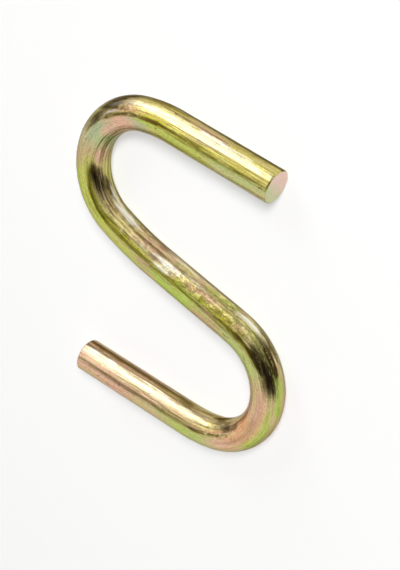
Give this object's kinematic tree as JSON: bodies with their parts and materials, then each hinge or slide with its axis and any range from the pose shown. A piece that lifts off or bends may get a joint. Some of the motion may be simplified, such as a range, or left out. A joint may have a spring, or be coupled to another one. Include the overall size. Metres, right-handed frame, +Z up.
{
  "type": "s hook",
  "caption": "Open S hook bent from one round steel rod, with two round hooks facing opposite ways, flared straight tails and square-cut ends.",
  "frame": {"origin": "on the surface that the hook lies on, below the middle of its box", "axes": "+Z up out of the S's plane, +Y along the straight shank towards the upper hook, +X towards the upper hook's tail, so that the S reads upright from above"},
  "size_m": [0.1134, 0.1024, 0.0111],
  "materials": {
    "yellow_zinc_steel": "bright zinc plate with a yellow chromate coat, glossy gold with green and pink tints"
  },
  "bodies": {
    "root": {"s_hook": "yellow_zinc_steel"}
  },
  "joints": []
}
